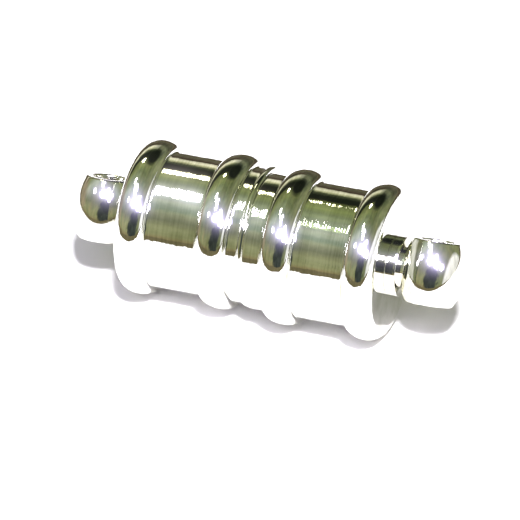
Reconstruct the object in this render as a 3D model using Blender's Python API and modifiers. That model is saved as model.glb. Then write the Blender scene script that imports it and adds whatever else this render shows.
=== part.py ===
"""A magnetic barrel clasp: two turned and plated halves, held together by a magnet in each.

Units are metres. X runs along the clasp, Z is up, and the origin is on the surface that the
clasp lies on, under its middle. Each half is modelled along its own axis: its local Z starts
at the joint between the halves and runs out to its loop.
"""

import math

import bpy

# Rings and body of each half
RING_DIAMETER = 0.0070
RING_WIDTH = 0.00144
BODY_DIAMETER = 0.00612
JOINT_TO_INNER_RING = 0.00155
RING_SPACING = 0.00381

# Outer end of each half: a rounded shoulder into a flat face
SHOULDER_LENGTH = 0.00069
END_FACE_DIAMETER = 0.0058

# Joint between the halves
JOINT_GAP = 0.00010
LIP_HEIGHT = 0.00012
LIP_WIDTH = 0.00022
EDGE_CHAMFER = 0.00005
SIDE_STEP = 0.0003

# Magnet in its cup
MAGNET_DIAMETER = 0.0050
MAGNET_THICKNESS = 0.0020
MAGNET_SETBACK = 0.00005
MAGNET_CHAMFER = 0.00015

# Loop: a pierced barrel on a collared stem
STEM_DIAMETER = 0.0013
COLLAR_DIAMETER = 0.00262
COLLAR_THICKNESS = 0.00050
NECK_DIAMETER = 0.0018
LOOP_DIAMETER = 0.00285
LOOP_HEIGHT = 0.00284
LOOP_SIDE_RADIUS = 0.0029
CORD_HOLE_DIAMETER = 0.0015
HOLE_CHAMFER = 0.00006
STEM_TO_HOLE = 0.00025

# Each loop stands out from its outer ring by its own length, and its hole leans away from
# upright, because a round clasp lies as it rolled
LEFT_LOOP_FROM_RING = 0.00221
RIGHT_LOOP_FROM_RING = 0.00251
LEFT_LOOP_LEAN = math.radians(23)
RIGHT_LOOP_LEAN = math.radians(28)

# Clearance round pieces that are pressed together
PRESS_CLEARANCE = 0.00004

# Facets: a shell has few wide sides, so that it rests on one of them and does not roll away,
# and a loop has finer ones
SIDES = 16
LOOP_SIDES = 32
BEAD_STEPS = 10
SHOULDER_STEPS = 6
LOOP_STEPS = 10

RING_RADIUS = RING_DIAMETER / 2
BODY_RADIUS = BODY_DIAMETER / 2
HALF_SIDE = math.pi / SIDES
AXIS_HEIGHT = RING_RADIUS * math.cos(HALF_SIDE)
FACE = JOINT_GAP / 2
OUTER_RING = JOINT_TO_INNER_RING + RING_SPACING
END_FACE = OUTER_RING + SHOULDER_LENGTH
CUP_BOTTOM = FACE + MAGNET_SETBACK + MAGNET_THICKNESS + PRESS_CLEARANCE
MERGE = 0.000001


def clear_scene():
    for thing in list(bpy.data.objects):
        bpy.data.objects.remove(thing, do_unlink=True)


def new_collection(name):
    collection = bpy.data.collections.new(name)
    bpy.context.scene.collection.children.link(collection)
    return collection


def metal(name, colour, roughness):
    material = bpy.data.materials.new(name)
    material.use_nodes = True
    shader = material.node_tree.nodes["Principled BSDF"]
    shader.inputs["Base Color"].default_value = (*colour, 1.0)
    shader.inputs["Roughness"].default_value = roughness
    shader.inputs["Metallic"].default_value = 1.0
    material.diffuse_color = (*colour, 1.0)
    return material


def arc(centre, width, height, start, end, steps):
    """Points (radius, z) of an elliptical arc round centre; angle 90 degrees is the crest, 0 is +Z."""
    points = []
    for step in range(steps + 1):
        angle = start + (end - start) * step / steps
        points.append((centre[0] + height * math.sin(angle), centre[1] + width * math.cos(angle)))
    return points


def turned(name, profile, collection, sides, material=None, closed=True):
    """A solid of revolution about local Z, from points (radius, z) listed down its outer side."""
    mesh = bpy.data.meshes.new(name)
    points = [(radius, 0.0, z) for radius, z in profile]
    edges = [(index, index + 1) for index in range(len(points) - 1)]
    if closed:
        edges.append((len(points) - 1, 0))
    mesh.from_pydata(points, edges, [])
    piece = bpy.data.objects.new(name, mesh)
    collection.objects.link(piece)
    if material:
        mesh.materials.append(material)
    screw = piece.modifiers.new("Turn", "SCREW")
    screw.axis = "Z"
    screw.angle = 2 * math.pi
    screw.steps = sides
    screw.render_steps = sides
    screw.use_merge_vertices = True
    screw.merge_threshold = MERGE
    screw.use_smooth_shade = True
    return piece


def half_axis(name, direction, side, collection):
    """An empty on a half's axis, whose local Z points along X in the given direction."""
    axis = bpy.data.objects.new(name, None)
    collection.objects.link(axis)
    axis.location = (0.0, side, AXIS_HEIGHT)
    axis.rotation_euler = (0.0, direction * math.pi / 2, 0.0)
    axis.empty_display_size = RING_DIAMETER
    return axis


def place(piece, axis, lean=0.0):
    piece.parent = axis
    piece.rotation_euler = (0.0, 0.0, lean)


def shell_profile(lip_height):
    """The turned section of a half, down its outer side and back up through cup and bore."""
    bore = STEM_DIAMETER / 2 + PRESS_CLEARANCE
    cup = MAGNET_DIAMETER / 2 + PRESS_CLEARANCE
    flat = END_FACE_DIAMETER / 2
    bead = RING_WIDTH / 2
    proud = RING_RADIUS - BODY_RADIUS
    edge = BODY_RADIUS + lip_height
    crest = math.pi / 2
    profile = [(bore, END_FACE)]
    profile += arc((flat, OUTER_RING), SHOULDER_LENGTH, RING_RADIUS - flat, 0.0, crest, SHOULDER_STEPS)
    profile += arc((BODY_RADIUS, OUTER_RING), bead, proud, crest, math.pi, BEAD_STEPS // 2)[1:]
    profile += arc((BODY_RADIUS, JOINT_TO_INNER_RING), bead, proud, 0.0, math.pi, BEAD_STEPS)
    if lip_height:
        profile.append((BODY_RADIUS, FACE + LIP_WIDTH + lip_height / 2))
        profile.append((edge, FACE + LIP_WIDTH))
    profile.append((edge, FACE + EDGE_CHAMFER))
    profile.append((edge - EDGE_CHAMFER, FACE))
    profile.append((cup, FACE))
    profile.append((cup, CUP_BOTTOM))
    profile.append((bore, CUP_BOTTOM))
    return profile


def add_shell(side, axis, lip_height, collection, material):
    shell = turned(side + "_shell", shell_profile(lip_height), collection, SIDES, material)
    place(shell, axis, HALF_SIDE)
    return shell


def add_magnet(side, axis, collection, material):
    """A plated disc magnet, set a little back from the face of its half."""
    radius = MAGNET_DIAMETER / 2
    front = FACE + MAGNET_SETBACK
    back = front + MAGNET_THICKNESS
    profile = [
        (0.0, back),
        (radius - MAGNET_CHAMFER, back),
        (radius, back - MAGNET_CHAMFER),
        (radius, front + MAGNET_CHAMFER),
        (radius - MAGNET_CHAMFER, front),
        (0.0, front),
    ]
    magnet = turned(side + "_magnet", profile, collection, SIDES, material, closed=False)
    place(magnet, axis, HALF_SIDE)
    return magnet


def stem_profile(loop_centre):
    """Stem through the end wall, collar on the end face, and neck into the loop's wall."""
    stem = STEM_DIAMETER / 2
    collar = COLLAR_DIAMETER / 2
    neck = NECK_DIAMETER / 2
    seat = END_FACE + PRESS_CLEARANCE
    collar_top = seat + COLLAR_THICKNESS
    neck_top = loop_centre - CORD_HOLE_DIAMETER / 2 - STEM_TO_HOLE
    stem_end = CUP_BOTTOM + PRESS_CLEARANCE
    return [
        (0.0, neck_top),
        (neck, neck_top),
        (neck, collar_top),
        (collar - EDGE_CHAMFER, collar_top),
        (collar, collar_top - EDGE_CHAMFER),
        (collar, seat + EDGE_CHAMFER),
        (collar - EDGE_CHAMFER, seat),
        (stem, seat),
        (stem, stem_end),
        (0.0, stem_end),
    ]


def barrel_profile():
    """The pierced barrel's section about its hole: bulging side, flat ends and a straight hole."""
    half_height = LOOP_HEIGHT / 2
    hole = CORD_HOLE_DIAMETER / 2
    top = math.acos(half_height / LOOP_SIDE_RADIUS)
    centre = (LOOP_DIAMETER / 2 - LOOP_SIDE_RADIUS, 0.0)
    side = arc(centre, LOOP_SIDE_RADIUS, LOOP_SIDE_RADIUS, top, math.pi - top, LOOP_STEPS)
    hole_wall = [
        (hole + HOLE_CHAMFER, -half_height),
        (hole, HOLE_CHAMFER - half_height),
        (hole, half_height - HOLE_CHAMFER),
        (hole + HOLE_CHAMFER, half_height),
    ]
    return side + hole_wall


def add_loop(side, axis, loop_centre, lean, collection, cutters, material):
    """One solid: the pierced barrel, with its collared stem joined on by a union."""
    loop = turned(side + "_loop", barrel_profile(), collection, LOOP_SIDES, material)
    loop.parent = axis
    loop.location = (0.0, 0.0, loop_centre)
    loop.rotation_mode = "ZYX"
    loop.rotation_euler = (0.0, math.pi / 2, 0.0)
    section = stem_profile(loop_centre)
    stem = turned(side + "_stem", section, cutters, LOOP_SIDES, material, closed=False)
    stem.parent = axis
    stem.hide_render = True
    stem.display_type = "WIRE"
    union = loop.modifiers.new("Stem", "BOOLEAN")
    union.operation = "UNION"
    union.object = stem
    lean_about(loop, lean)
    lean_about(stem, lean)
    return loop


def lean_about(piece, lean):
    """Turns a piece about its half's axis, which is its parent's local Z."""
    turn = bpy.data.objects.new(piece.name + "_lean", None)
    piece.users_collection[0].objects.link(turn)
    turn.parent = piece.parent
    turn.rotation_euler = (0.0, 0.0, lean)
    piece.parent = turn


def build():
    clear_scene()
    clasp = new_collection("magnetic_clasp")
    cutters = new_collection("joined_pieces")
    cutters.hide_render = True
    silver = metal("silver_plated_brass", (0.78, 0.77, 0.72), 0.08)
    loop_silver = metal("silver_plated_loop", (0.78, 0.77, 0.72), 0.08)
    nickel = metal("nickel_plated_magnet", (0.62, 0.60, 0.57), 0.25)
    halves = (
        ("left", -1, SIDE_STEP / 2, LIP_HEIGHT, LEFT_LOOP_FROM_RING, LEFT_LOOP_LEAN),
        ("right", 1, -SIDE_STEP / 2, 0.0, RIGHT_LOOP_FROM_RING, RIGHT_LOOP_LEAN),
    )
    for side, direction, offset, lip_height, from_ring, lean in halves:
        axis = half_axis(side + "_half", direction, offset, clasp)
        add_shell(side, axis, lip_height, clasp, silver)
        add_magnet(side, axis, clasp, nickel)
        add_loop(side, axis, OUTER_RING + from_ring, -direction * lean, clasp, cutters, loop_silver)


build()
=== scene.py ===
"""A closed magnetic barrel clasp, silver plated and mirror polished, lying on white paper."""

import math

import bpy
from mathutils import Matrix, Vector


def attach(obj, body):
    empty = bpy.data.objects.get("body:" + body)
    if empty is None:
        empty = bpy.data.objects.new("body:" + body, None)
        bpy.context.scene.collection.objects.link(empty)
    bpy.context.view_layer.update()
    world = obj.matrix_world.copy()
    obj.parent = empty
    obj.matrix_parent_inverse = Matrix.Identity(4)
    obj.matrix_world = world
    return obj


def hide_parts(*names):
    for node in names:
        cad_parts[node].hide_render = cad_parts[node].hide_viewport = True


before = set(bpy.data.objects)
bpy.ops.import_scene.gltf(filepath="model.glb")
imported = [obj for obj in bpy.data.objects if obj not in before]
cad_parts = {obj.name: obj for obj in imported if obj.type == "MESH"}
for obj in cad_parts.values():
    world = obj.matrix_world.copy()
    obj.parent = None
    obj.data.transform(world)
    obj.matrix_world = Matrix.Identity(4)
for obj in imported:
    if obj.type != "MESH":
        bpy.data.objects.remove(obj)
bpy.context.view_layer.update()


# The two shells. Each is turned from one brass bar: two half-round rings, a rounded shoulder
# into a flat end, a cup for the magnet and a bore for the loop's stem. Polishing leaves its
# edges soft, and silver plate over it all makes a mirror. Only the left one has a lip.
RING_DIAMETER = 0.0070
RING_WIDTH = 0.00144
BODY_DIAMETER = 0.00612
JOINT_TO_INNER_RING = 0.00155
RING_SPACING = 0.00381
OUTER_RING = JOINT_TO_INNER_RING + RING_SPACING
SHOULDER_LENGTH = 0.00069
END_FACE = OUTER_RING + SHOULDER_LENGTH
END_FACE_DIAMETER = 0.0058
LIP_HEIGHT = 0.00012
LIP_WIDTH = 0.00030
LIP_STEPS = 12
EDGE_ROUNDING = 0.00008
JOINT_GAP = 0.00001
CUP_DIAMETER = 0.00508
CUP_BOTTOM = 0.00214
BORE_DIAMETER = 0.00138
AXIS_HEIGHT = 0.0034327
SIDE_STEP = 0.0003
SOFT_EDGE = 0.00003
SHELL_SIDES = 192
BEAD_STEPS = 36
LONGEST_STEP = 0.00012
SHARP = math.radians(40)
MERGE = 0.0000005

HALVES = (
    ("left", -1, SIDE_STEP / 2),
    ("right", 1, -SIDE_STEP / 2),
)


def arc(centre, length, height, start, end, steps):
    """Points (x, radius) of an elliptical arc in degrees: 0 is out along X, and 90 is the crest."""
    points = []
    for step in range(steps + 1):
        angle = math.radians(start + (end - start) * step / steps)
        points.append((centre[0] + length * math.cos(angle), centre[1] + height * math.sin(angle)))
    return points


def pick_only(piece):
    bpy.ops.object.select_all(action="DESELECT")
    piece.select_set(True)
    bpy.context.view_layer.objects.active = piece


def turn(name, section, sides):
    """Draws half a section by extruding one point of it, (x, radius), and spins that round X."""
    bpy.ops.object.select_all(action="DESELECT")
    start = (section[0][0], 0.0, section[0][1])
    bpy.ops.mesh.primitive_plane_add(size=SOFT_EDGE, location=start)
    piece = bpy.context.active_object
    piece.name = name
    bpy.ops.object.transform_apply(location=True, rotation=True, scale=True)
    bpy.ops.object.mode_set(mode="EDIT")
    bpy.ops.mesh.select_mode(type="VERT")
    bpy.ops.mesh.merge(type="CENTER")
    here = section[0]
    for there in section[1:]:
        step = (there[0] - here[0], 0.0, there[1] - here[1])
        bpy.ops.mesh.extrude_vertices_move(TRANSFORM_OT_translate={"value": step})
        here = there
    bpy.ops.mesh.select_all(action="SELECT")
    bpy.ops.mesh.spin(steps=sides, angle=2 * math.pi, center=(0, 0, 0), axis=(1, 0, 0))
    bpy.ops.mesh.select_all(action="SELECT")
    bpy.ops.mesh.remove_doubles(threshold=MERGE)
    bpy.ops.mesh.normals_make_consistent(inside=False)
    bpy.ops.object.mode_set(mode="OBJECT")
    return piece


def soften(piece, width):
    """Rounds every sharp edge, as polishing does."""
    pick_only(piece)
    bevel = piece.modifiers.new("soft edges", "BEVEL")
    bevel.width = width
    bevel.segments = 3
    bevel.limit_method = "ANGLE"
    bevel.angle_limit = SHARP
    bpy.ops.object.modifier_apply(modifier=bevel.name)


def lay(piece, direction, side):
    """Mirrors a piece for its half, lays it on that half's axis and keeps the place in its mesh."""
    flip = Matrix.Diagonal((direction, 1, 1, 1))
    piece.matrix_world = Matrix.Translation((0.0, side, AXIS_HEIGHT)) @ flip
    pick_only(piece)
    bpy.ops.object.transform_apply(location=True, rotation=True, scale=True)
    bpy.ops.object.mode_set(mode="EDIT")
    bpy.ops.mesh.select_all(action="SELECT")
    bpy.ops.mesh.normals_make_consistent(inside=False)
    bpy.ops.object.mode_set(mode="OBJECT")
    bpy.ops.object.shade_smooth_by_angle(angle=SHARP)


def from_hex(code):
    """An sRGB hex value as a linear colour."""
    parts = [int(code[start:start + 2], 16) / 255 for start in (1, 3, 5)]
    return (*[p / 12.92 if p <= 0.04045 else ((p + 0.055) / 1.055) ** 2.4 for p in parts], 1.0)


def add_node(tree, kind, inputs=None, **settings):
    """Adds a node with its settings. An input is a value, or the socket that it is linked from."""
    node = tree.nodes.new(kind)
    for name, value in settings.items():
        setattr(node, name, value)
    for name, value in (inputs or {}).items():
        if isinstance(value, bpy.types.NodeSocket):
            tree.links.new(value, node.inputs[name])
        else:
            node.inputs[name].default_value = value
    return node


def in_short_steps(section, longest):
    """The same outline with its long straight runs cut up, so that only their ends shade round."""
    points = [section[0]]
    for there in section[1:]:
        here = points[-1]
        cuts = math.ceil(math.dist(here, there) / longest)
        for cut in range(1, cuts + 1):
            share = cut / cuts
            along = here[0] + (there[0] - here[0]) * share
            radius = here[1] + (there[1] - here[1]) * share
            points.append((along, radius))
    return points


def shell_section(lip_height):
    """The shell's wall from the bore's outer edge over the rings to the joint, and back inside."""
    body = BODY_DIAMETER / 2
    crest = RING_DIAMETER / 2
    bead = RING_WIDTH / 2
    flat = END_FACE_DIAMETER / 2
    cup = CUP_DIAMETER / 2
    bore = BORE_DIAMETER / 2
    face = JOINT_GAP / 2
    section = [(END_FACE, bore)]
    section += arc((OUTER_RING, flat), SHOULDER_LENGTH, crest - flat, 0, 90, BEAD_STEPS // 2)
    section += arc((OUTER_RING, body), bead, crest - body, 90, 180, BEAD_STEPS // 2)[1:]
    section += arc((JOINT_TO_INNER_RING, body), bead, crest - body, 0, 180, BEAD_STEPS)
    if lip_height:
        half = LIP_WIDTH / 2
        section += arc((face + half, body), half, lip_height, 0, 180, LIP_STEPS)
    else:
        round_off = EDGE_ROUNDING
        corner = (face + round_off, body - round_off)
        section += arc(corner, round_off, round_off, 90, 180, LIP_STEPS // 2)
    section.append((face, cup))
    section.append((CUP_BOTTOM, cup))
    section.append((CUP_BOTTOM, bore))
    section.append((END_FACE, bore))
    return in_short_steps(section, LONGEST_STEP)


# Silver plate, polished on the turned brass and seen as a slightly warm mirror. A thin film,
# patchy and in the fine rings that turning left, dulls it here and there. The rings streak the
# reflections, the plate's faint waves break them up, and a few tiny pits sparkle. The turning
# rings are drawn coarser than the real ones, which would be too fine to see.
silver_plate = bpy.data.materials.new("polished_silver_plate")
silver_plate.use_nodes = True
tree = silver_plate.node_tree
shader = tree.nodes["Principled BSDF"]
shader.inputs["Metallic"].default_value = 1.0
place = add_node(tree, "ShaderNodeTexCoord").outputs["Object"]
along = add_node(tree, "ShaderNodeMapping", {"Vector": place, "Scale": (11000, 260, 260)})
marks = add_node(tree, "ShaderNodeTexNoise", {
    "Vector": along.outputs["Vector"], "Scale": 1.0, "Detail": 3.0})
tarnish = add_node(tree, "ShaderNodeTexNoise", {"Vector": place, "Scale": 800.0, "Detail": 5.0})
film = add_node(tree, "ShaderNodeMix", {
    "Factor": 0.34, "A": tarnish.outputs[0], "B": marks.outputs[0]}, data_type="FLOAT")
dull = add_node(tree, "ShaderNodeMapRange", {
    "Value": film.outputs[0], "From Min": 0.38, "From Max": 0.62, "To Min": 0.0, "To Max": 1.0})
tint = add_node(tree, "ShaderNodeMix", {
    "Factor": dull.outputs[0], 6: from_hex("#F8F8F3"), 7: from_hex("#CCCEC0")}, data_type="RGBA")
tree.links.new(tint.outputs[2], shader.inputs["Base Color"])
gloss = add_node(tree, "ShaderNodeMapRange", {
    "Value": dull.outputs[0], "From Min": 0.0, "From Max": 1.0, "To Min": 0.015, "To Max": 0.05})
tree.links.new(gloss.outputs[0], shader.inputs["Roughness"])
lines = add_node(tree, "ShaderNodeBump", {
    "Height": marks.outputs[0], "Strength": 1.0, "Distance": 0.0000022})
waves = add_node(tree, "ShaderNodeTexNoise", {"Vector": place, "Scale": 2100.0, "Detail": 2.0})
ripple = add_node(tree, "ShaderNodeBump", {
    "Height": waves.outputs[0], "Strength": 1.0, "Distance": 0.0000062, "Normal": lines.outputs[0]})
spots = add_node(tree, "ShaderNodeTexVoronoi", {"Vector": place, "Scale": 1300.0, "Randomness": 1.0})
pits = add_node(tree, "ShaderNodeMapRange", {
    "Value": spots.outputs["Distance"],
    "From Min": 0.015, "From Max": 0.035, "To Min": 0.0, "To Max": 1.0})
worn = add_node(tree, "ShaderNodeBump", {
    "Height": pits.outputs[0], "Strength": 1.0, "Distance": 0.000004, "Normal": ripple.outputs[0]})
tree.links.new(worn.outputs[0], shader.inputs["Normal"])

for half, direction, side in HALVES:
    lip_height = LIP_HEIGHT if half == "left" else 0.0
    shell = turn(half + "_shell_plated", shell_section(lip_height), SHELL_SIDES)
    soften(shell, SOFT_EDGE)
    lay(shell, direction, side)
    shell.data.materials.append(silver_plate)
    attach(shell, half + "_half")
    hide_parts(half + "_shell")


# The two magnets. Each is a sintered disc, nickel plated with a satin finish, whose chamfered
# rim stands a hair behind the shell's joint face. They are out of sight in the closed clasp.
MAGNET_DIAMETER = 0.0050
MAGNET_FRONT = 0.0001
MAGNET_BACK = 0.0021
MAGNET_CHAMFER = 0.00015
MAGNET_SIDES = 128

nickel_plate = bpy.data.materials.new("satin_nickel_plate")
nickel_plate.use_nodes = True
tree = nickel_plate.node_tree
shader = tree.nodes["Principled BSDF"]
shader.inputs["Metallic"].default_value = 1.0
place = add_node(tree, "ShaderNodeTexCoord").outputs["Object"]
grain = add_node(tree, "ShaderNodeTexNoise", {"Vector": place, "Scale": 14000.0, "Detail": 4.0})
cloud = add_node(tree, "ShaderNodeTexNoise", {"Vector": place, "Scale": 900.0, "Detail": 3.0})
tint = add_node(tree, "ShaderNodeMix", {
    "Factor": cloud.outputs[0], 6: from_hex("#D6D1C6"), 7: from_hex("#BEB8AA")}, data_type="RGBA")
tree.links.new(tint.outputs[2], shader.inputs["Base Color"])
gloss = add_node(tree, "ShaderNodeMapRange", {
    "Value": grain.outputs[0], "From Min": 0.3, "From Max": 0.7, "To Min": 0.18, "To Max": 0.32})
tree.links.new(gloss.outputs[0], shader.inputs["Roughness"])
pits = add_node(tree, "ShaderNodeBump", {
    "Height": grain.outputs[0], "Strength": 1.0, "Distance": 0.000002})
tree.links.new(pits.outputs[0], shader.inputs["Normal"])

rim = MAGNET_DIAMETER / 2
magnet_section = [
    (MAGNET_BACK, 0.0),
    (MAGNET_BACK, rim - MAGNET_CHAMFER),
    (MAGNET_BACK - MAGNET_CHAMFER, rim),
    (MAGNET_FRONT + MAGNET_CHAMFER, rim),
    (MAGNET_FRONT, rim - MAGNET_CHAMFER),
    (MAGNET_FRONT, 0.0),
]
for half, direction, side in HALVES:
    magnet = turn(half + "_magnet_disc", magnet_section, MAGNET_SIDES)
    soften(magnet, SOFT_EDGE)
    lay(magnet, direction, side)
    magnet.data.materials.append(nickel_plate)
    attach(magnet, half + "_half")
    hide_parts(half + "_magnet")


# The two loops. Each is one turned and plated piece: a stem pressed in the shell's end, a round
# collar against it, and a barrel with a straight hole for the cord. They lie as the clasp
# rolled, with the holes leaning away, and the right one stands a little further out.
STEM_DIAMETER = 0.0013
STEM_END = 0.00218
COLLAR_DIAMETER = 0.00266
COLLAR_SEAT = END_FACE - 0.00001
COLLAR_THICKNESS = 0.0005
COLLAR_ROUNDING = 0.00004
COLLAR_STEPS = 6
NECK_DIAMETER = 0.0018
LOOP_DIAMETER = 0.00285
LOOP_HEIGHT = 0.00284
LOOP_SIDE_RADIUS = 0.0029
LOOP_ROUNDING = 0.00007
HOLE_DIAMETER = 0.0015
NECK_TO_HOLE = 0.0002
LOOP_SIDES = 160
LOOP_STEPS = 40
LOOPS = {
    "left": (OUTER_RING + 0.00221, math.radians(23)),
    "right": (OUTER_RING + 0.00251, math.radians(28)),
}

# Silver plate again, barrel polished: no turning rings, but the scratches and tiny dents that
# parts give each other as they tumble.
silver_loop = bpy.data.materials.new("polished_silver_loop")
silver_loop.use_nodes = True
tree = silver_loop.node_tree
shader = tree.nodes["Principled BSDF"]
shader.inputs["Metallic"].default_value = 1.0
place = add_node(tree, "ShaderNodeTexCoord").outputs["Object"]
dents = add_node(tree, "ShaderNodeTexNoise", {"Vector": place, "Scale": 1900.0, "Detail": 3.0})
tarnish = add_node(tree, "ShaderNodeTexNoise", {"Vector": place, "Scale": 900.0, "Detail": 5.0})
tint = add_node(tree, "ShaderNodeMix", {
    "Factor": tarnish.outputs[0], 6: from_hex("#F4F4EE"), 7: from_hex("#DEDCCC")}, data_type="RGBA")
tree.links.new(tint.outputs[2], shader.inputs["Base Color"])
gloss = add_node(tree, "ShaderNodeMapRange", {
    "Value": tarnish.outputs[0], "From Min": 0.35, "From Max": 0.65, "To Min": 0.03, "To Max": 0.08})
tree.links.new(gloss.outputs[0], shader.inputs["Roughness"])
ripple = add_node(tree, "ShaderNodeBump", {
    "Height": dents.outputs[0], "Strength": 1.0, "Distance": 0.0000042})
tree.links.new(ripple.outputs[0], shader.inputs["Normal"])

for half, direction, side in HALVES:
    centre, lean = LOOPS[half]
    shoulder = COLLAR_DIAMETER / 2 - COLLAR_ROUNDING
    front = COLLAR_SEAT + COLLAR_THICKNESS - COLLAR_ROUNDING
    back = COLLAR_SEAT + COLLAR_ROUNDING
    collar = arc((front, shoulder), COLLAR_ROUNDING, COLLAR_ROUNDING, 0, 90, COLLAR_STEPS)
    collar += arc((back, shoulder), COLLAR_ROUNDING, COLLAR_ROUNDING, 90, 180, COLLAR_STEPS)
    neck_end = centre - HOLE_DIAMETER / 2 - NECK_TO_HOLE
    stem_section = [(neck_end, 0.0), (neck_end, NECK_DIAMETER / 2)]
    stem_section += [(COLLAR_SEAT + COLLAR_THICKNESS, NECK_DIAMETER / 2)] + collar
    stem_section += [(COLLAR_SEAT, STEM_DIAMETER / 2), (STEM_END, STEM_DIAMETER / 2), (STEM_END, 0.0)]
    stem = turn(half + "_stem", in_short_steps(stem_section, LONGEST_STEP), LOOP_SIDES)

    end = LOOP_HEIGHT / 2
    hole = HOLE_DIAMETER / 2
    top = math.degrees(math.acos(end / LOOP_SIDE_RADIUS))
    middle = (0.0, LOOP_DIAMETER / 2 - LOOP_SIDE_RADIUS)
    barrel_section = [(end, hole)]
    barrel_section += arc(middle, LOOP_SIDE_RADIUS, LOOP_SIDE_RADIUS, top, 180 - top, LOOP_STEPS)
    barrel_section += [(-end, hole), (end, hole)]
    loop = turn(half + "_loop_plated", barrel_section, LOOP_SIDES)
    soften(loop, LOOP_ROUNDING)
    upright = Matrix.Rotation(math.radians(90), 4, "Y")
    loop.matrix_world = Matrix.Translation((centre, 0, 0)) @ Matrix.Rotation(-lean, 4, "X") @ upright
    pick_only(loop)
    bpy.ops.object.transform_apply(location=True, rotation=True, scale=True)
    union = loop.modifiers.new("one piece", "BOOLEAN")
    union.operation = "UNION"
    union.object = stem
    bpy.ops.object.modifier_apply(modifier=union.name)
    bpy.data.objects.remove(stem, do_unlink=True)
    lay(loop, direction, side)
    loop.data.materials.clear()
    loop.data.materials.append(silver_loop)
    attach(loop, half + "_half")
    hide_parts(half + "_loop")


# The white paper that the clasp lies on, and round it a darker table top. The table is seen
# only in the clasp's reflections: the camera sees plain paper from every side. The sheet's
# edges, as the mirror shows them, are the edges of the hole that is cut in the table.
scene = bpy.context.scene
PAPER = AXIS_HEIGHT - RING_DIAMETER / 2
PAPER_SIZE = 0.8
SHEET_LEFT = -0.060
SHEET_RIGHT = 0.300
SHEET_NEAR = -0.029
SHEET_FAR = 0.034
TABLE_LIFT = 0.0004

bpy.ops.object.select_all(action="DESELECT")
bpy.ops.mesh.primitive_plane_add(size=PAPER_SIZE, location=(0, 0, PAPER))
paper = bpy.context.active_object
paper.name = "paper"

# Plain matt paper: it gives the eye an even white, with soft shadows on it.
white = bpy.data.materials.new("white_paper")
white.use_nodes = True
shader = white.node_tree.nodes["Principled BSDF"]
shader.inputs["Base Color"].default_value = from_hex("#F4F3F2")
shader.inputs["Roughness"].default_value = 0.9
shader.inputs["Specular IOR Level"].default_value = 0.2
paper.data.materials.append(white)

bpy.ops.object.select_all(action="DESELECT")
bpy.ops.mesh.primitive_grid_add(
    x_subdivisions=3, y_subdivisions=3, size=PAPER_SIZE, location=(0, 0, PAPER + TABLE_LIFT))
table = bpy.context.active_object
table.name = "table"
for corner in table.data.vertices:
    if abs(corner.co.x) < PAPER_SIZE / 4:
        corner.co.x = SHEET_LEFT if corner.co.x < 0 else SHEET_RIGHT
    if abs(corner.co.y) < PAPER_SIZE / 4:
        corner.co.y = SHEET_NEAR if corner.co.y < 0 else SHEET_FAR
bpy.ops.object.mode_set(mode="EDIT")
bpy.ops.mesh.select_mode(type="FACE")
bpy.ops.mesh.select_all(action="DESELECT")
bpy.ops.object.mode_set(mode="OBJECT")
for face in table.data.polygons:
    face.select = SHEET_LEFT < face.center.x < SHEET_RIGHT and SHEET_NEAR < face.center.y < SHEET_FAR
bpy.ops.object.mode_set(mode="EDIT")
bpy.ops.mesh.delete(type="FACE")
bpy.ops.object.mode_set(mode="OBJECT")

# Dull wood, a little browner past the clasp. It gives off its own light, so that the mirror
# shows it in the same tone from everywhere.
wood = bpy.data.materials.new("dark_table")
wood.use_nodes = True
shader = wood.node_tree.nodes["Principled BSDF"]
shader.inputs["Base Color"].default_value = from_hex("#000000")
shader.inputs["Roughness"].default_value = 1.0
shader.inputs["Specular IOR Level"].default_value = 0.0
place = add_node(wood.node_tree, "ShaderNodeTexCoord").outputs["Object"]
depth = add_node(wood.node_tree, "ShaderNodeSeparateXYZ", {0: place})
far = add_node(wood.node_tree, "ShaderNodeMath", {0: depth.outputs[1], 1: 0.0}, operation="GREATER_THAN")
tone = add_node(wood.node_tree, "ShaderNodeMix", {
    "Factor": far.outputs[0], 6: from_hex("#7A7256"), 7: from_hex("#5E5648")}, data_type="RGBA")
wood.node_tree.links.new(tone.outputs[2], shader.inputs["Emission Color"])
shader.inputs["Emission Strength"].default_value = 1.0
table.data.materials.append(wood)
table.visible_camera = False
table.visible_diffuse = False
table.visible_shadow = False


# The room: olive walls in bands that are lighter overhead, from the camera's side over the top to
# the far side, as a workshop looks in a mirror. Each band is a height in degrees and a colour.
# On the left the far side has a dark opening with a pale ledge under it and brown below, and on
# the right it is a dull olive.
ROOM_LEFT = [
    (0, "#8A805E"), (5, "#989870"), (16, "#969874"), (31, "#7A7E65"), (45, "#929A85"), (58, "#A6AF9E"),
    (70, "#B2BCA8"), (88, "#929C7A"), (106, "#88925F"), (123, "#666C42"), (127, "#1C2018"),
    (138, "#22261C"), (145, "#50563E"), (150, "#C0C09C"), (153, "#E8E6C8"), (159, "#E0DCC0"),
    (162, "#40382C"), (180, "#6A6454"),
]
ROOM_RIGHT = [
    (0, "#7C7858"), (10, "#868A62"), (30, "#767C60"), (60, "#8E9880"), (90, "#767E58"), (115, "#686E46"),
    (128, "#585E44"), (148, "#4E5442"), (158, "#6E745A"), (168, "#4C4C3C"), (180, "#5A5848"),
]

# Patches of the room, each round a direction. A row is the direction, the cosines of the angles
# to it at which the patch is full and gone, and its colour. They are the two ends, white paper
# low on the right, and a dark spot high on the far side.
PATCHES = (
    ((-1.0, 0.0, 0.0), 0.97, 0.88, "#9A9078"),
    ((1.0, 0.0, 0.0), 0.65, 0.35, "#7E8460"),
    ((0.97, 0.0, -0.24), 0.80, 0.74, "#FFFFFF"),
    ((0.07, 0.64, 0.765), 0.970, 0.925, "#1C2018"),
)

# What stands about in the room makes it darker and brighter, and a little more or less coloured.
CLUTTER = (0.94, 1.32)
HUES = 0.12


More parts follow.
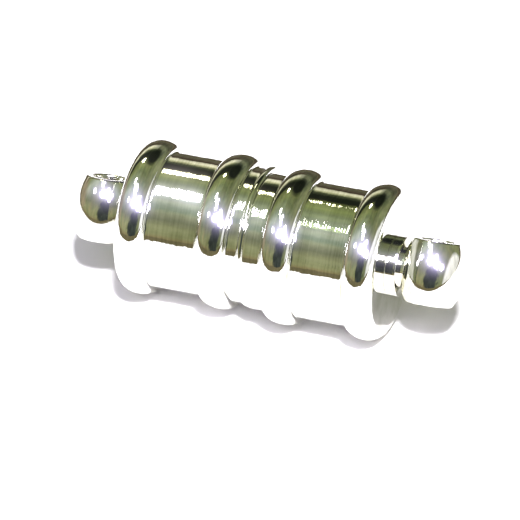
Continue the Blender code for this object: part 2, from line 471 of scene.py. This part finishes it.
def ramp(tree, share, stops):
    """The colour at a share of half a turn, from stops of degrees and a colour."""
    bands = add_node(tree, "ShaderNodeValToRGB", {0: share})
    marks = bands.color_ramp.elements
    marks.remove(marks[1])
    marks[0].color = from_hex(stops[0][1])
    for degrees, code in stops[1:]:
        marks.new(degrees / 180).color = from_hex(code)
    return bands.outputs[0]


world = bpy.data.worlds.new("room")
scene.world = world
world.use_nodes = True
tree = world.node_tree
way = add_node(tree, "ShaderNodeTexCoord").outputs["Generated"]
sky = add_node(tree, "ShaderNodeSeparateXYZ", {0: way})
front = add_node(tree, "ShaderNodeMath", {0: sky.outputs[1], 1: -1.0}, operation="MULTIPLY")
over = add_node(tree, "ShaderNodeMath", {0: sky.outputs[2], 1: front.outputs[0]}, operation="ARCTAN2")
share = add_node(tree, "ShaderNodeMath", {0: over.outputs[0], 1: math.pi}, operation="DIVIDE")
right = add_node(tree, "ShaderNodeMapRange", {
    "Value": sky.outputs[0], "From Min": -0.27, "From Max": -0.05, "To Min": 0.0, "To Max": 1.0})
walls = add_node(tree, "ShaderNodeMix", {
    "Factor": right.outputs[0], 6: ramp(tree, share.outputs[0], ROOM_LEFT),
    7: ramp(tree, share.outputs[0], ROOM_RIGHT)}, data_type="RGBA").outputs[2]
for toward, full, none, code in PATCHES:
    closeness = add_node(tree, "ShaderNodeVectorMath", {0: way, 1: toward}, operation="DOT_PRODUCT")
    patch = add_node(tree, "ShaderNodeMapRange", {
        "Value": closeness.outputs["Value"],
        "From Min": none, "From Max": full, "To Min": 0.0, "To Max": 1.0})
    walls = add_node(tree, "ShaderNodeMix", {
        "Factor": patch.outputs[0], 6: walls, 7: from_hex(code)}, data_type="RGBA").outputs[2]
things = add_node(tree, "ShaderNodeTexNoise", {"Vector": way, "Scale": 5.0, "Detail": 2.0})
shade = add_node(tree, "ShaderNodeMapRange", {
    "Value": things.outputs[0],
    "From Min": 0.3, "From Max": 0.7, "To Min": CLUTTER[0], "To Max": CLUTTER[1]})
colours = add_node(tree, "ShaderNodeMix", {
    "Factor": HUES, 6: walls, 7: things.outputs["Color"]}, data_type="RGBA", blend_type="OVERLAY")
tree.links.new(colours.outputs[2], tree.nodes["Background"].inputs["Color"])
tree.links.new(shade.outputs[0], tree.nodes["Background"].inputs["Strength"])


def facing(over, across, distance):
    """A place that faces the clasp: degrees over it from the camera's side, and to the right."""
    over, across = math.radians(over), math.radians(across)
    toward = Vector((
        math.sin(across),
        -math.cos(across) * math.cos(over),
        math.cos(across) * math.sin(over),
    ))
    tall = toward.cross(Vector((1, 0, 0))).normalized()
    wide = tall.cross(toward).normalized()
    turned = Matrix((wide, tall, toward)).transposed().to_4x4()
    return Matrix.Translation(Vector((0, 0, AXIS_HEIGHT)) + toward * distance) @ turned


def hang(name, over, across, distance, size, power, code):
    """Hangs a soft lamp that faces the clasp, of a size across and up, a power and a colour."""
    light = bpy.data.lights.new(name, "AREA")
    light.shape = "ELLIPSE"
    light.size, light.size_y = size
    light.energy = power
    light.color = from_hex(code)[:3]
    lamp = bpy.data.objects.new(name, light)
    scene.collection.objects.link(lamp)
    lamp.matrix_world = facing(over, across, distance)
    return lamp


# The lamps, as the mirror shows them: a small yellow one behind, a tall, a narrow and a faint one
# over the clasp, and a row of violet-white ones on the camera's side. The key light casts the
# shadows, and a wide fill lifts them. A row is a name, degrees over and across, size, power and
# colour.
LAMP_DISTANCE = 0.40
FILL_DISTANCE = 0.30
LAMPS = [
    ("lamp_far", 119, -20, (0.050, 0.060), 0.08, "#FFFAD0"),
    ("lamp_over", 81, -20, (0.030, 0.075), 0.12, "#FFFFF0"),
    ("lamp_7", 74, -17.6, (0.007, 0.050), 0.032, "#F4FFE8"),
    ("lamp_8", 72, -14.5, (0.030, 0.060), 0.0025, "#DCF0A8"),
    ("lamp_1", 67, -8, (0.050, 0.130), 0.60, "#EEE8FF"),
    ("lamp_2", 47, 0, (0.130, 0.090), 1.80, "#EEE8FF"),
    ("lamp_3", 53, 19, (0.070, 0.110), 1.00, "#EEE8FF"),
    ("lamp_4", 43, 26, (0.100, 0.080), 1.20, "#EEE8FF"),
    ("lamp_5", 42, 43, (0.080, 0.070), 0.60, "#EEE8FF"),
    ("lamp_6", 52, -34, (0.040, 0.050), 0.25, "#EEE8FF"),
]
for name, over, across, size, power, code in LAMPS:
    hang(name, over, across, LAMP_DISTANCE, size, power, code).visible_diffuse = False
key = hang("key", 55, 14, LAMP_DISTANCE, (0.044, 0.044), 3.6, "#FBFAFF")
key.visible_glossy = False
fill = hang("fill", 40, 0, FILL_DISTANCE, (0.4, 0.4), 0.7, "#D4C6FF")
fill.visible_glossy = False

# What stands dark beside the lens in every mirror, as an uneven shape with soft edges.
CARD_DISTANCE = 0.20
CARD_HALF_WIDTH = 0.110
CARD_HALF_HEIGHT = 0.090

bpy.ops.object.select_all(action="DESELECT")
bpy.ops.mesh.primitive_plane_add(size=2.0)
card = bpy.context.active_object
card.name = "dark_card"
card_size = Matrix.Diagonal((CARD_HALF_WIDTH, CARD_HALF_HEIGHT, 1, 1))
card.matrix_world = facing(14, 13, CARD_DISTANCE) @ card_size

# A painted dark glow: the card gives off its own uneven near-black light, fading out at its edge.
card_glow = bpy.data.materials.new("dark_card_glow")
card_glow.use_nodes = True
tree = card_glow.node_tree
place = add_node(tree, "ShaderNodeTexCoord").outputs["Object"]
blotches = add_node(tree, "ShaderNodeTexNoise", {"Vector": place, "Scale": 2.2, "Detail": 4.0})
tone = add_node(tree, "ShaderNodeMix", {
    "Factor": blotches.outputs[0], 6: from_hex("#0E1214"), 7: from_hex("#565E58")}, data_type="RGBA")
# The card's tone is painted in as its own light; the lamps do not light it.
dark = add_node(tree, "ShaderNodeEmission", {"Color": tone.outputs[2], "Strength": 1.0})
clear = add_node(tree, "ShaderNodeBsdfTransparent")
reach = add_node(tree, "ShaderNodeVectorMath", {0: place}, operation="LENGTH")
edge = add_node(tree, "ShaderNodeMath", {0: reach.outputs["Value"], 1: blotches.outputs[0]}, operation="ADD")
fade = add_node(tree, "ShaderNodeMapRange", {
    "Value": edge.outputs[0], "From Min": 1.15, "From Max": 1.45, "To Min": 0.0, "To Max": 1.0})
cover = add_node(tree, "ShaderNodeMixShader", {0: fade.outputs[0], 1: dark.outputs[0], 2: clear.outputs[0]})
tree.links.new(cover.outputs[0], tree.nodes["Material Output"].inputs["Surface"])
card.data.materials.append(card_glow)
card.visible_camera = False
card.visible_diffuse = False
card.visible_shadow = False


# The camera: a long lens, above the clasp and a little to its right, as in the photograph.
CAMERA_SIDE = math.radians(19.85)
CAMERA_RISE = math.radians(31.0)
CAMERA_DISTANCE = 0.237
PIXELS_PER_METRE = 22650
FRAME_PIXELS = 520
CLASP_PIXEL = (264.5, 239.5)
SENSOR = 36.0

away = Vector((
    math.sin(CAMERA_SIDE) * math.cos(CAMERA_RISE),
    -math.cos(CAMERA_SIDE) * math.cos(CAMERA_RISE),
    math.sin(CAMERA_RISE),
))
lens = bpy.data.cameras.new("camera")
lens.sensor_width = SENSOR
lens.lens = PIXELS_PER_METRE * CAMERA_DISTANCE * SENSOR / FRAME_PIXELS
lens.clip_start = 0.01
camera = bpy.data.objects.new("camera", lens)
scene.collection.objects.link(camera)
camera.rotation_euler = away.to_track_quat("Z", "Y").to_euler()
view = camera.rotation_euler.to_matrix()
aim = Vector((0.0, 0.0, AXIS_HEIGHT))
aim -= view.col[0] * (CLASP_PIXEL[0] - FRAME_PIXELS / 2) / PIXELS_PER_METRE
aim -= view.col[1] * (FRAME_PIXELS / 2 - CLASP_PIXEL[1]) / PIXELS_PER_METRE
camera.location = aim + away * CAMERA_DISTANCE
scene.camera = camera
scene.view_settings.view_transform = "Standard"

# The brightest glints bloom a little, as they do through a small lens.
scene.use_nodes = True
tree = scene.node_tree
tree.nodes.clear()
layers = add_node(tree, "CompositorNodeRLayers")
glow = add_node(tree, "CompositorNodeGlare", {"Image": layers.outputs["Image"]}, glare_type="BLOOM")
glow.inputs["Threshold"].default_value = 3.0
glow.inputs["Strength"].default_value = 0.5
glow.inputs["Size"].default_value = 0.06
glow.inputs["Tint"].default_value = from_hex("#DAD2FF")
add_node(tree, "CompositorNodeComposite", {"Image": glow.outputs["Image"]})
